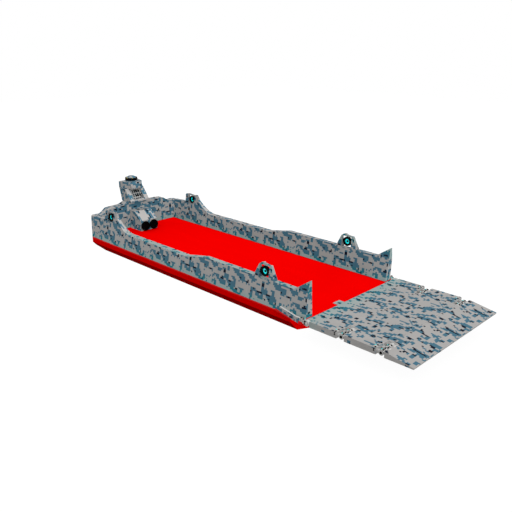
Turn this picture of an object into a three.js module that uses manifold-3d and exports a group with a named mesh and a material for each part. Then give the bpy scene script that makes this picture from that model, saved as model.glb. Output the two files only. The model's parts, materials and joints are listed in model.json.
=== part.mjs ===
import * as THREE from 'three';
import { mergeVertices } from 'three/addons/utils/BufferGeometryUtils.js';
import Module from 'manifold-3d';

const wasm = await Module();
wasm.setup();

// Millimetres. +X runs to the bow, +Y to port, +Z up. The flat of the bottom is at Z = 0,
// and the origin lies under the middle of the craft's box.

// Hull: a decked pontoon with a vertical side band, a chine and a shallow vee to a flat bottom.
const gap = 0.3;
const halfBeam = 4400;
const deckTop = 1300;
const deckPlate = 30;
const bandBottom = 926;
const chineHalf = 3780;
const chineZ = 250;
const flatHalf = 2700;
const transomX = -14350;
const sternCornerX = -13700;
const rakeEndX = -12950;
const hullBowX = 7100;
const deckBowX = 8000;
const sillBowX = 8108;

// Bulwarks: side walls whose two faces lean together towards the top, low amidships and tall
// forward, with a horn on each side of the ramp.
const innerHalf = 3610;
const innerLean = 0.1;
const outerLean = 0.19;
const outerLeanFoot = 1358;
const leanTop = 3850;
const wallFoot = deckTop - deckPlate + gap;
const lowTop = 2440;
const tallTop = 2835;
const hornTop = 3540;
const hornFootX = 7996;
const hornBowX = 8090;
const hornTaperX = 6900;
const hornHalf = 4130;

// Lamp stations: x and z of each tilt axis, the floor of its seat and the window around its drum.
const lamp = {
  aft: { x: -11400, z: 3275, floor: 2900, seat: [-12150, -10050], windowTop: [3640, 3620] },
  fore: { x: 4700, z: 3225, floor: 2790, seat: [3950, 5520], windowTop: [3600, 3580] },
};
const lampY = 3940;
const drumRadius = 315;
const drumHalf = 90;
const lensRadius = 170;
const lensHalf = 18;
const windowHalf = 385;
const trunnionRadius = 34;

// Ramp: three thick plates. The aft edge is a round nose between two fixed brackets; each fold has
// knuckles only beside the edges, and plates that meet above the pin, so it can droop but not rise.
const rampHalf = 4450;
const rampThick = 360;
const rampAxisZ = 1270;
const rampLow = rampAxisZ - rampThick / 2;
const rampHigh = rampAxisZ + rampThick / 2;
const mainHingeX = 8300;
const noseHalf = 4260;
const bracketHalf = 4470;
const bracketRadius = 175;
const bracketSetback = 195;
const firstFoldX = 10565;
const secondFoldX = 13000;
const foldZ = 1240;
const foldGap = 6;
const foldChamfer = 46;
const knuckleRadius = 150;
const knuckleSetback = 250;
const webHalf = 80;
const bracketWebHalf = 115;
const combInner = 3250;
const combOuter = 4355;
const combCount = 5;
const combGap = 10;
const toeX = 14900;
const toeThick = 70;
const toeSlopeX = 13190;
const pinRadius = 60;
const seatedBore = 60.3;
const runningBore = 60.8;
const runningSides = 40;
const roundSides = 20;

// Stern: bulwark with a raised middle, engine casing and control tower.
const sternTop = { corner: 2910, step: 2870, middle: 3262, plinth: 3470 };
const sternPlan = {
  low: { z: 1265, corner: [-13740, 4370], transom: [transomX, 3750], sideY: 4400 },
  high: { z: 3600, corner: [-14311, 3974], transom: [-14421, 3892], sideY: 3974 },
};
const casingHalf = 790;
const casingFrontX = -12250;
const casingBrowZ = 2145;
const casingTopX = -13000;
const casingTopZ = 2800;
const casingWall = 50;
const fanRadius = 370;
const fanY = 405;
const fanZ = 1700;
const fanDepth = 200;
const towerHalf = 880;
const towerWall = 80;
const recessHalf = 500;
const recessWall = 70;
const paneHalf = 380;
const paneThick = 14;
const headBottom = 4500;
const headTop = 5040;
const headAftX = -14900;
const headFrontX = -13850;
const headFrontHalf = 620;
const ringRadius = 500;
const ringHeight = 150;
const domeRadius = 370;
const domeHeight = 280;
const domeX = -14400;

// Running gear under the stern, in two tunnels that keep it above the flat of the bottom.
const tunnelY = 2200;
const tunnelZ = 560;
const tunnelRadius = 560;
const tunnelEndX = -11700;
const tunnelSides = 32;
const propX = -13350;
const propRadius = 470;
const hubRadius = 90;
const shaftRadius = 45;
const strutX = -12850;
const rudderX = -13880;
const stockRadius = 40;
const stockBore = 40.8;
const stockTop = 1215;

const camoGrey = 0x8f8d8a;
const paint = {
  camo: { color: camoGrey, roughness: 0.75, metalness: 0.1 },
  redDeck: { color: 0xf50000, roughness: 0.7, metalness: 0.05 },
  redHull: { color: 0xb00000, roughness: 0.65, metalness: 0.05 },
  black: { color: 0x0b0b0c, roughness: 0.6, metalness: 0.2 },
  steel: { color: 0x8a8f92, roughness: 0.4, metalness: 0.9 },
  bronze: { color: 0xa9803f, roughness: 0.35, metalness: 1 },
  lens: { color: 0x20d0d8, roughness: 0.2, metalness: 0 },
  glass: { color: 0x26343a, roughness: 0.1, metalness: 0, transparent: true, opacity: 0.5 },
};
const materials = Object.fromEntries(
  Object.entries(paint).map(([name, look]) => [name, new THREE.MeshStandardMaterial(look)]),
);

const craft = new THREE.Group();

function addPart(name, shape, materialName) {
  const geometry = shape.isBufferGeometry ? shape : toGeometry(shape);
  const mesh = new THREE.Mesh(geometry, materials[materialName]);
  mesh.name = name;
  craft.add(mesh);
}

function toSolid(geometry) {
  const bare = geometry.index ? geometry.toNonIndexed() : geometry.clone();
  bare.deleteAttribute('normal');
  bare.deleteAttribute('uv');
  const merged = mergeVertices(bare, 1e-3);
  return new wasm.Manifold(new wasm.Mesh({
    numProp: 3,
    vertProperties: new Float32Array(merged.attributes.position.array),
    triVerts: new Uint32Array(merged.index.array),
  }));
}

function toGeometry(solid) {
  const mesh = solid.getMesh();
  const geometry = new THREE.BufferGeometry();
  geometry.setAttribute('position', new THREE.BufferAttribute(new Float32Array(mesh.vertProperties), 3));
  geometry.setIndex(new THREE.BufferAttribute(new Uint32Array(mesh.triVerts), 1));
  return geometry;
}

function joined(solids) {
  return solids.reduce((whole, piece) => whole.add(piece));
}

function without(solid, cuts) {
  return cuts.reduce((whole, cut) => whole.subtract(cut), solid);
}

// A block between two corners.
function block(low, high) {
  const size = high.map((value, axis) => value - low[axis]);
  const centre = high.map((value, axis) => (value + low[axis]) / 2);
  return toSolid(new THREE.BoxGeometry(...size).translate(...centre));
}

function shapeOf(points) {
  return new THREE.Shape(points.map(([x, y]) => new THREE.Vector2(x, y)));
}

function extruded(points, depth) {
  return new THREE.ExtrudeGeometry(shapeOf(points), { depth, bevelEnabled: false, curveSegments: 8 });
}

// A side outline in (x, z) carried across from yLow to yHigh.
function sideProfile(points, yLow, yHigh) {
  const turn = new THREE.Matrix4().makeBasis(
    new THREE.Vector3(1, 0, 0),
    new THREE.Vector3(0, 0, 1),
    new THREE.Vector3(0, -1, 0),
  );
  return toSolid(extruded(points, yHigh - yLow).applyMatrix4(turn).translate(0, yHigh, 0));
}

// An end outline in (y, z) carried along from xLow to xHigh.
function endProfile(points, xLow, xHigh) {
  const turn = new THREE.Matrix4().makeBasis(
    new THREE.Vector3(0, 1, 0),
    new THREE.Vector3(0, 0, 1),
    new THREE.Vector3(1, 0, 0),
  );
  return toSolid(extruded(points, xHigh - xLow).applyMatrix4(turn).translate(xLow, 0, 0));
}

// A plan outline in (x, y) carried up from zLow to zHigh.
function planProfile(points, zLow, zHigh) {
  return toSolid(extruded(points, zHigh - zLow).translate(0, 0, zLow));
}

function roundAlong(axis, radius, length, sides = roundSides) {
  const rod = new THREE.CylinderGeometry(radius, radius, length, sides);
  if (axis === 'x') rod.rotateZ(Math.PI / 2);
  if (axis === 'z') rod.rotateX(Math.PI / 2);
  return rod;
}

function rodAt(axis, radius, length, centre, sides) {
  return toSolid(roundAlong(axis, radius, length, sides).translate(...centre));
}

function turned(profile, sides = roundSides) {
  return new THREE.LatheGeometry(profile.map(([r, y]) => new THREE.Vector2(r, y)), sides);
}

// Closed outlines in (a, b), all with the same number of points, joined along a run and capped.
function lofted(stations, place = (run, a, b) => [run, a, b]) {
  const count = stations[0].outline.length;
  const positions = stations.flatMap(({ run, outline }) => outline.flatMap(([a, b]) => place(run, a, b)));
  const index = [];
  for (let row = 0; row < stations.length - 1; row += 1) {
    for (let k = 0; k < count; k += 1) {
      const a = row * count + k;
      const b = row * count + (k + 1) % count;
      index.push(a, b, b + count, a, b + count, a + count);
    }
  }
  const last = (stations.length - 1) * count;
  const ring = stations[0].outline.map(([a, b]) => new THREE.Vector2(a, b));
  for (const [a, b, c] of THREE.ShapeUtils.triangulateShape(ring, [])) {
    index.push(a, c, b);
    index.push(last + a, last + b, last + c);
  }
  const geometry = new THREE.BufferGeometry();
  geometry.setAttribute('position', new THREE.Float32BufferAttribute(positions, 3));
  geometry.setIndex(index);
  return toSolid(geometry);
}

function mirrored(points) {
  return [...points, ...points.map(([y, z]) => [-y, z]).reverse()];
}

// Half an end outline from the deck edge down to the flat: beam, band, chine and flat.
function hullOutline({ beam, band, chine, chineHeight, flat, flatHeight }) {
  const port = [[flat, flatHeight], [chine, chineHeight], [beam, band], [beam, deckTop - deckPlate]];
  return mirrored(port);
}

function buildHull() {
  const full = {
    beam: halfBeam, band: bandBottom, chine: chineHalf, chineHeight: chineZ, flat: flatHalf, flatHeight: 0,
  };
  const stations = [
    { x: transomX, ...full, beam: 3750, chine: 3600, chineHeight: 870, flatHeight: 760 },
    { x: sternCornerX, ...full, chine: 4150, chineHeight: 640, flatHeight: 400 },
    { x: rakeEndX, ...full },
    { x: hullBowX, ...full },
  ];
  const body = lofted(stations.map((station) => ({ run: station.x, outline: hullOutline(station) })));
  const length = tunnelEndX - transomX + 200;
  const tunnels = [-1, 1].map((side) => (
    rodAt('x', tunnelRadius, length, [tunnelEndX - length / 2, side * tunnelY, tunnelZ], tunnelSides)
  ));
  const stockHoles = [-1, 1].map((side) => (
    rodAt('z', stockBore, 2 * (stockTop + 10 - tunnelZ), [rudderX, side * tunnelY, tunnelZ], runningSides)
  ));
  addPart('hull', without(body, [...tunnels, ...stockHoles]), 'redHull');
}

function buildDeck() {
  const low = [sternCornerX + gap, -innerHalf + gap, wallFoot];
  addPart('deck', block(low, [deckBowX, innerHalf - gap, deckTop]), 'redDeck');
}

function bothSides(low, high) {
  return [[low, high], [-high, -low]];
}

function boreAlong(x, z, radius, sides) {
  return rodAt('y', radius, 2 * rampHalf + 200, [x, 0, z], sides);
}

// The shelf under the deck's fore end, the crossbeam before it and the brackets of the ramp hinge.
function buildBowSill() {
  const shelf = block([hullBowX + gap, -hornHalf, rampLow], [sillBowX, hornHalf, wallFoot - 2 * gap]);
  const beam = block([deckBowX + gap, -bracketHalf, rampLow], [sillBowX, bracketHalf, deckTop + 2]);
  const brackets = bothSides(noseHalf + combGap, bracketHalf).flatMap(([low, high]) => [
    rodAt('y', bracketRadius, high - low, [mainHingeX, (low + high) / 2, rampAxisZ]),
    block([sillBowX - 20, low, rampAxisZ - bracketWebHalf], [mainHingeX, high, rampAxisZ + bracketWebHalf]),
  ]);
  const whole = joined([shelf, beam, ...brackets]);
  addPart('bow_sill', whole.subtract(boreAlong(mainHingeX, rampAxisZ, seatedBore)), 'camo');
}

// Knuckles at one fold, each tied by a web to its own plate; even ones belong to the aft plate.
function foldKnuckles(foldX, isAft) {
  const pitch = (combOuter - combInner - combGap) / combCount;
  const rootX = foldX + (isAft ? -1 : 1) * (knuckleSetback + 40);
  const pieces = [];
  for (let k = isAft ? 0 : 1; k < combCount; k += 2) {
    const top = combOuter - k * pitch;
    for (const [low, high] of bothSides(top - pitch + combGap, top)) {
      pieces.push(rodAt('y', knuckleRadius, high - low, [foldX, (low + high) / 2, foldZ]));
      pieces.push(block(
        [Math.min(foldX, rootX), low, foldZ - webHalf],
        [Math.max(foldX, rootX), high, foldZ + webHalf],
      ));
    }
  }
  return pieces;
}

// Room for the knuckles, cut from both plates at a fold.
function foldNotches(foldX) {
  return bothSides(combInner, rampHalf + 10).map(([low, high]) => (
    block([foldX - knuckleSetback, low, rampLow - 10], [foldX + knuckleSetback, high, rampHigh + 10])
  ));
}

// A plate end at a fold, from the top down: upright to the pin's height, then cut back.
function foldEnd(foldX, direction) {
  const meet = foldX + direction * foldGap;
  return [[meet, rampHigh], [meet, foldZ], [meet + direction * foldChamfer, rampLow]];
}

function buildRampInner() {
  const nose = rodAt('y', rampThick / 2, 2 * noseHalf, [mainHingeX, 0, rampAxisZ], 36);
  const outline = [[mainHingeX, rampHigh], [mainHingeX, rampLow], ...foldEnd(firstFoldX, -1).reverse()];
  const plate = sideProfile(outline, -rampHalf, rampHalf);
  const corners = bothSides(noseHalf, rampHalf + 10).map(([low, high]) => (
    block([mainHingeX - 10, low, rampLow - 10], [mainHingeX + bracketSetback, high, rampHigh + 10])
  ));
  const cut = without(plate, [...corners, ...foldNotches(firstFoldX)]);
  const whole = joined([cut, nose, ...foldKnuckles(firstFoldX, true)]);
  const bores = [
    boreAlong(mainHingeX, rampAxisZ, runningBore, runningSides),
    ...foldBores(firstFoldX, seatedBore, roundSides),
  ];
  addPart('ramp_inner', without(whole, bores), 'camo');
}

// The bore of one fold stops at the inner end of its knuckles.
function foldBores(foldX, radius, sides) {
  return bothSides(combInner - 5, rampHalf + 100).map(([low, high]) => (
    rodAt('y', radius, high - low, [foldX, (low + high) / 2, foldZ], sides)
  ));
}

function buildRampMiddle() {
  const outline = [...foldEnd(firstFoldX, 1), ...foldEnd(secondFoldX, -1).reverse()];
  const notches = [...foldNotches(firstFoldX), ...foldNotches(secondFoldX)];
  const plate = without(sideProfile(outline, -rampHalf, rampHalf), notches);
  const whole = joined([plate, ...foldKnuckles(firstFoldX, false), ...foldKnuckles(secondFoldX, true)]);
  const bores = [
    ...foldBores(firstFoldX, runningBore, runningSides),
    ...foldBores(secondFoldX, seatedBore, roundSides),
  ];
  addPart('ramp_middle', without(whole, bores), 'camo');
}

function buildRampToe() {
  const outline = [
    ...foldEnd(secondFoldX, 1), [toeX, rampLow], [toeX, rampLow + toeThick],
    [toeSlopeX, rampHigh],
  ];
  const plate = without(sideProfile(outline, -rampHalf, rampHalf), foldNotches(secondFoldX));
  const whole = joined([plate, ...foldKnuckles(secondFoldX, false)]);
  addPart('ramp_toe', without(whole, foldBores(secondFoldX, runningBore, runningSides)), 'camo');
}

function buildHingePins() {
  addPart('hinge_pin_main', rodAt('y', pinRadius, 2 * bracketHalf, [mainHingeX, 0, rampAxisZ]), 'black');
  for (const [fold, x] of Object.entries({ first: firstFoldX, second: secondFoldX })) {
    for (const [name, side] of [['starboard', -1], ['port', 1]]) {
      const length = combOuter - combInner - combGap;
      const centre = [x, side * (combOuter - length / 2), foldZ];
      addPart(`hinge_pin_${fold}_fold_${name}`, rodAt('y', pinRadius, length, centre), 'black');
    }
  }
}

// Section of a bulwark in (y, z) for one side of the craft.
function bulwarkSection(side) {
  const outerTop = halfBeam - outerLean * (leanTop - outerLeanFoot);
  const innerTop = innerHalf + innerLean * (leanTop - deckTop);
  const port = [
    [innerHalf, wallFoot], [halfBeam, wallFoot], [halfBeam, outerLeanFoot],
    [outerTop, leanTop], [innerTop, leanTop], [innerHalf, deckTop],
  ];
  return side > 0 ? port : port.map(([y, z]) => [-y, z]).reverse();
}

// A side outline in (x, z) given the bulwark's leaning faces.
function bulwarkPiece(outline, side) {
  const xs = outline.map(([x]) => x);
  const slab = sideProfile(outline, Math.min(0, side * halfBeam) - 10, Math.max(0, side * halfBeam) + 10);
  return slab.intersect(endProfile(bulwarkSection(side), Math.min(...xs) - 10, Math.max(...xs) + 10));
}

// Outline of a side wall from the stern to the horn, as (x, z).
function wallOutline() {
  const { aft, fore } = lamp;
  return [
    [sternCornerX + gap, wallFoot - 10],
    [hornFootX, wallFoot - 10],
    [hornBowX, hornTop],
    [hornBowX - 22, hornTop],
    [7060, tallTop],
    [fore.seat[1] + 40, tallTop],
    [fore.seat[1], fore.floor],
    [fore.seat[0], fore.floor],
    [fore.seat[0], tallTop],
    [-420, tallTop],
    [-2400, lowTop],
    [-8900, lowTop],
    [-9130, 2470],
    [-9560, 2600],
    [-9800, 2760],
    [aft.seat[1], aft.floor],
    [aft.seat[0], aft.floor],
    [aft.seat[0], 3020],
    [sternCornerX + gap, 2925],
  ];
}

function buildWalls() {
  for (const [name, side] of [['starboard', -1], ['port', 1]]) {
    const wall = bulwarkPiece(wallOutline(), side);
    const reach = side * (halfBeam + 200);
    const pastBow = hornBowX + 50;
    const taper = planProfile([
      [hornTaperX, side * halfBeam], [pastBow, side * hornHalf], [pastBow, reach], [hornTaperX, reach],
    ], 0, hornTop + 200);
    addPart(`wall_${name}`, wall.subtract(taper), 'camo');
  }
}

// Cradle outlines above the seat floor, as (x, z): a post aft of the lamp, an arch, an ear before it.
const cradleTop = {
  aft: [[-10200, 3050], [-10520, 3362], [-10650, 3745], [-10740, 3770], [-11021, 3712],
    [-11380, 3735], [-11673, 3766], [-12060, 3695]],
  fore: [[5520, 2850], [5225, 3650], [5190, 3685], [5130, 3650], [4720, 3702], [4620, 3780],
    [4410, 3705], [4245, 3582], [3970, 2980]],
};

function buildCradle(station, sideName, side) {
  const { x, floor, seat, windowTop } = lamp[station];
  const [aftX, foreX] = [seat[0] + gap, seat[1]];
  const aftTop = station === 'aft' ? 3625 : 2935;
  const outline = [[aftX, floor + gap], [foreX, floor + gap], ...cradleTop[station], [aftX, aftTop]];
  const window = sideProfile([
    [x - windowHalf, floor - 10], [x + windowHalf, floor - 10],
    [x + windowHalf, windowTop[1]], [x - windowHalf, windowTop[0]],
  ], -halfBeam - 20, halfBeam + 20);
  addPart(`lamp_cradle_${station}_${sideName}`, bulwarkPiece(outline, side).subtract(window), 'camo');
}

function buildLamp(station, sideName, side) {
  const centre = [lamp[station].x, side * lampY, lamp[station].z];
  const shell = turned([
    [lensRadius + gap, -lensHalf], [lensRadius + 12, -drumHalf], [drumRadius - 18, -drumHalf],
    [drumRadius, -drumHalf + 18], [drumRadius, drumHalf - 18], [drumRadius - 18, drumHalf],
    [lensRadius + 12, drumHalf], [lensRadius + gap, lensHalf], [lensRadius + gap, -lensHalf],
  ], 32);
  const reach = windowHalf - gap;
  const stubs = [-1, 1].map((end) => {
    const inner = (lensRadius + drumRadius) / 2;
    return rodAt('x', trunnionRadius, reach - inner, [end * (reach + inner) / 2, 0, 0], 12);
  });
  const housing = toGeometry(joined([toSolid(shell), ...stubs])).translate(...centre);
  addPart(`lamp_drum_${station}_${sideName}`, housing, 'black');
  const depth = lensHalf - 4;
  const lens = turned([
    [0, -depth - 6], [110, -depth - 4], [lensRadius, -depth],
    [lensRadius, depth], [110, depth + 4], [0, depth + 6],
  ], 32);
  addPart(`lamp_lens_${station}_${sideName}`, toSolid(lens.translate(...centre)), 'lens');
}

// Wedges outboard of each horn that widen the hull to the ramp's hinge.
function buildCheeks() {
  const outline = [[5900, 1360], [7515, 1143], [7990, 1090], [7990, 1470], [7580, 1470], [6380, 1690]];
  for (const [name, side] of [['starboard', -1], ['port', 1]]) {
    const edges = [side * (halfBeam + gap), side * (rampHalf + 70)];
    addPart(`hinge_cheek_${name}`, sideProfile(outline, Math.min(...edges), Math.max(...edges)), 'camo');
  }
}

function sternOutline({ corner, transom, sideY }) {
  const port = [[sternCornerX, sideY], corner, transom];
  return [...port, ...port.map(([x, y]) => [x, -y]).reverse()];
}

function buildSternWall() {
  const levels = [sternPlan.low, sternPlan.high];
  const stations = levels.map((level) => ({ run: level.z, outline: sternOutline(level) }));
  const prism = lofted(stations, (z, x, y) => [x, y, z]);
  const half = [
    [halfBeam, wallFoot], [halfBeam, sternTop.corner], [3220, sternTop.step],
    [2640, sternTop.middle], [1450, sternTop.middle + 48], [1000, sternTop.plinth],
  ];
  const face = endProfile(mirrored(half), sternPlan.high.transom[0] - 10, sternCornerX + 10);
  addPart('stern_wall', prism.intersect(face), 'camo');
}

function casingOutline(inset, foot) {
  return [
    [sternCornerX + 2 * gap + inset, foot],
    [casingFrontX - inset, foot],
    [casingFrontX - inset, casingBrowZ - inset / 2],
    [casingTopX - inset / 2, casingTopZ - inset],
    [sternCornerX + 2 * gap + inset, casingTopZ - inset],
  ];
}

function buildCasing() {
  const foot = deckTop + gap;
  const outer = sideProfile(casingOutline(0, foot), -casingHalf, casingHalf);
  const innerHalfWidth = casingHalf - casingWall;
  const inner = sideProfile(casingOutline(casingWall, foot - 10), -innerHalfWidth, innerHalfWidth);
  addPart('engine_casing', outer.subtract(inner), 'camo');
  addPart('engine_block', block([-13450, -600, foot], [-12500, 600, 2000]), 'steel');
  for (const [name, side] of [['starboard', -1], ['port', 1]]) {
    const drum = turned([
      [0, 0], [fanRadius, 0], [fanRadius, fanDepth - 15], [fanRadius - 15, fanDepth],
      [fanRadius - 45, fanDepth], [fanRadius - 45, fanDepth - 60], [70, fanDepth - 60],
      [70, fanDepth - 20], [0, fanDepth - 20],
    ], 28);
    drum.rotateZ(-Math.PI / 2).translate(casingFrontX + gap, side * fanY, fanZ);
    addPart(`fan_drum_${name}`, toSolid(drum), 'black');
  }
}

// Side outline of the tower's trunk: both faces lean aft. A recess between two cheeks in its fore
// face holds the window.
const trunk = {
  foot: sternTop.plinth + gap, aftFoot: -14600, aftTop: -14870, foreFoot: -13330, sill: 3600, foreTop: -14050,
};
const recess = { low: 3660, high: 4440, lowX: -13640, highX: -14150, paneLow: 3760, paneHigh: 4340 };

function trunkOutline(inset) {
  const foot = trunk.foot + inset;
  const top = headBottom - gap + (inset > 0 ? 20 : 0);
  return [
    [trunk.aftFoot + inset, foot], [trunk.foreFoot - inset, foot], [trunk.foreFoot - inset, trunk.sill],
    [trunk.foreTop - inset, top], [trunk.aftTop + inset, top],
  ];
}

// The aft plane of the recess, moved aft by a depth.
function recessX(z, depth) {
  const share = (z - recess.low) / (recess.high - recess.low);
  return recess.lowX + share * (recess.highX - recess.lowX) - depth;
}

// The room taken by the recess, grown by a wall thickness.
function recessBlock(wall) {
  const low = recess.low - wall;
  const high = recess.high + wall;
  return sideProfile([
    [recessX(low, wall), low], [-13200, low], [-13200, high], [recessX(high, wall), high],
  ], -recessHalf - wall, recessHalf + wall);
}

function paneBlock(half, low, high, aft, fore) {
  return sideProfile([
    [recessX(low, aft), low], [recessX(low, fore), low],
    [recessX(high, fore), high], [recessX(high, aft), high],
  ], -half, half);
}

function buildTower() {
  const shell = sideProfile(trunkOutline(0), -towerHalf, towerHalf);
  const room = sideProfile(trunkOutline(towerWall), -towerHalf + towerWall, towerHalf - towerWall);
  const hollow = room.subtract(recessBlock(recessWall));
  const opening = paneBlock(paneHalf, recess.paneLow, recess.paneHigh, recessWall + 60, -20);
  addPart('tower_trunk', without(shell, [hollow, recessBlock(0), opening]), 'camo');
  const middle = (recessWall + paneThick) / 2;
  const [sill, lintel] = [recess.paneLow + gap, recess.paneHigh - gap];
  const pane = paneBlock(paneHalf - gap, sill, lintel, middle, middle - paneThick);
  addPart('tower_pane', pane, 'glass');
  const slab = (aftX, foreX, aftHalf, foreHalf, low, high) => planProfile([
    [aftX, -aftHalf], [foreX, -foreHalf], [foreX, foreHalf], [aftX, aftHalf],
  ], low, high);
  const head = slab(headAftX, headFrontX, towerHalf, headFrontHalf, headBottom, headTop);
  const headRoom = slab(headAftX + 180, trunk.foreTop - 60, 780, 560, headBottom - 10, headTop - towerWall);
  addPart('tower_head', head.subtract(headRoom), 'camo');
  addPart('helm_console', block([-13930, -350, trunk.foot + towerWall + gap], [-13800, 350, 3720]), 'black');
  const ring = turned([
    [0, 0], [ringRadius - 40, 0], [ringRadius, 40], [ringRadius, ringHeight - 30],
    [ringRadius - 30, ringHeight], [0, ringHeight],
  ], 32).rotateX(Math.PI / 2).translate(domeX, 0, headTop + gap);
  addPart('beacon_ring', toSolid(ring), 'black');
  const profile = [[0, 0]];
  for (let k = 0; k <= 6; k += 1) {
    const angle = (k / 6) * Math.PI / 2;
    profile.push([domeRadius * Math.cos(angle), 30 + (domeHeight - 30) * Math.sin(angle)]);
  }
  profile[profile.length - 1][0] = 0;
  profile.splice(1, 0, [domeRadius, 0]);
  const dome = turned(profile, 32).rotateX(Math.PI / 2);
  addPart('beacon_dome', toSolid(dome.translate(domeX, 0, headTop + ringHeight + 2 * gap)), 'camo');
}

// A blade is a flat plate set at an angle to the shaft; the two propellers turn opposite ways.
function propellerSolid(side) {
  const pieces = [rodAt('x', hubRadius, 200, [0, 0, 0])];
  for (let k = 0; k < 4; k += 1) {
    const blade = new THREE.BoxGeometry(150, 24, propRadius - 40).translate(0, 0, (propRadius + 40) / 2);
    blade.rotateZ(side * Math.PI / 5);
    const wide = new THREE.BoxGeometry(24, 230, propRadius - 200).translate(0, 0, (propRadius + 180) / 2);
    wide.rotateZ(-side * Math.PI / 10);
    pieces.push(toSolid(blade.rotateX((k * Math.PI) / 2)));
    pieces.push(toSolid(wide.rotateX((k * Math.PI) / 2)));
  }
  const shaft = tunnelEndX - gap - propX;
  pieces.push(rodAt('x', shaftRadius, shaft, [shaft / 2, 0, 0]));
  return joined(pieces);
}

function buildRunningGear() {
  for (const [name, side] of [['starboard', -1], ['port', 1]]) {
    const y = side * tunnelY;
    const screw = toGeometry(propellerSolid(side)).translate(propX, y, tunnelZ);
    addPart(`propeller_${name}`, screw, 'bronze');
    const liner = rodAt('x', tunnelRadius - gap, 400, [strutX, y, tunnelZ], tunnelSides);
    const leg = block([strutX - 120, y - 30, tunnelZ], [strutX + 120, y + 30, tunnelZ + tunnelRadius + 10]);
    const barrel = rodAt('x', 95, 300, [strutX, y, tunnelZ]);
    const bore = rodAt('x', shaftRadius + 2, 400, [strutX, y, tunnelZ]);
    addPart(`shaft_strut_${name}`, joined([leg.intersect(liner), barrel]).subtract(bore), 'redHull');
    const blade = sideProfile([
      [rudderX - 350, 170], [rudderX + 150, 150], [rudderX + 160, 850], [rudderX - 330, 880],
    ], y - 30, y + 30);
    const stock = rodAt('z', stockRadius, stockTop - tunnelZ, [rudderX, y, (stockTop + tunnelZ) / 2]);
    addPart(`rudder_${name}`, joined([blade, stock]), 'redHull');
  }
}

buildHull();
buildDeck();
buildBowSill();
buildRampInner();
buildRampMiddle();
buildRampToe();
buildHingePins();
buildWalls();
for (const station of ['aft', 'fore']) {
  for (const [name, side] of [['starboard', -1], ['port', 1]]) {
    buildCradle(station, name, side);
    buildLamp(station, name, side);
  }
}
buildCheeks();
buildSternWall();
buildCasing();
buildTower();
buildRunningGear();

export default craft;
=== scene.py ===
import json
import math

import bmesh
import bpy
import numpy as np
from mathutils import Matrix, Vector

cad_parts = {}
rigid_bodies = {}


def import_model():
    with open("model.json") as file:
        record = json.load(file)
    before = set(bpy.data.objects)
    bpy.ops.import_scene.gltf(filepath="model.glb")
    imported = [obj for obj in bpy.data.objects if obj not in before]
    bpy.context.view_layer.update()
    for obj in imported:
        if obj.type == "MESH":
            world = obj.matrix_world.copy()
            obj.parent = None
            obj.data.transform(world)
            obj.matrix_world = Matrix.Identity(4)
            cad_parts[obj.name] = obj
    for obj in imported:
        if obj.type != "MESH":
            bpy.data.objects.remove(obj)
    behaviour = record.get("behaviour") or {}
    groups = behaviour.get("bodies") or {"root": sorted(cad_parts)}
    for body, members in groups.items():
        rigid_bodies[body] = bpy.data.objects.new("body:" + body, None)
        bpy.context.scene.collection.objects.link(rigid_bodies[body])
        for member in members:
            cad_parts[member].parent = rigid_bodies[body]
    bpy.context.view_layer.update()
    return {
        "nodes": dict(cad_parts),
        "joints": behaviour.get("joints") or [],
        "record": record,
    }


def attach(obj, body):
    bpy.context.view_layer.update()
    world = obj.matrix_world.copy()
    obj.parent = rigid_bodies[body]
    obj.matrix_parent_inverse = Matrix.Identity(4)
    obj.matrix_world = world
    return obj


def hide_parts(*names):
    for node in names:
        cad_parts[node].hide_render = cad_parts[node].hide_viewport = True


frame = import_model()
nodes = frame["nodes"]
joints = {joint["name"]: joint for joint in frame["joints"]}
sides = (("starboard", -1), ("port", 1))
stations = ("aft", "fore")
folds = ("ramp_first_fold", "ramp_second_fold")
print("craft loaded:", len(nodes), "nodes")


# A point on a joint's axis
def jointPlace(name):
    return np.array(joints[name]["pos_m"], float)


# Camera, floor and light

view = {
    "place": (27.217, -27.403, 15.499),
    "azimuth": 44.77,
    "elevation": 19.26,
    "lens": 42.33,
    "sensor": 36.0,
    "near": 0.5,
    "far": 400.0,
}


def setCamera():
    camera = bpy.data.cameras.new("photoCamera")
    camera.lens = view["lens"]
    camera.sensor_width = view["sensor"]
    camera.clip_start = view["near"]
    camera.clip_end = view["far"]
    holder = bpy.data.objects.new("photoCamera", camera)
    azimuth = math.radians(view["azimuth"])
    elevation = math.radians(view["elevation"])
    back = Vector((
        math.sin(azimuth) * math.cos(elevation),
        -math.cos(azimuth) * math.cos(elevation),
        math.sin(elevation),
    ))
    holder.location = view["place"]
    holder.rotation_mode = "QUATERNION"
    holder.rotation_quaternion = (-back).to_track_quat("-Z", "Y")
    bpy.context.scene.collection.objects.link(holder)
    bpy.context.scene.camera = holder


studio = {
    "floorSize": 300.0,
    "floorTone": 0.10,       # what the floor gives back of the light, so shadows stay faint
    "floorGlow": 0.95,
    "floorRough": 0.9,
    "sky": 0.90,
    "skyLow": -0.10,         # height on the unit sky where it turns dark below
    "skyHigh": 0.02,
    # strength, degrees across, where it comes from
    "suns": ((0.20, 50.0, (0.6, -0.6, 0.55)), (0.9, 14.0, (1.0, -0.05, 0.03))),
}


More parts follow.
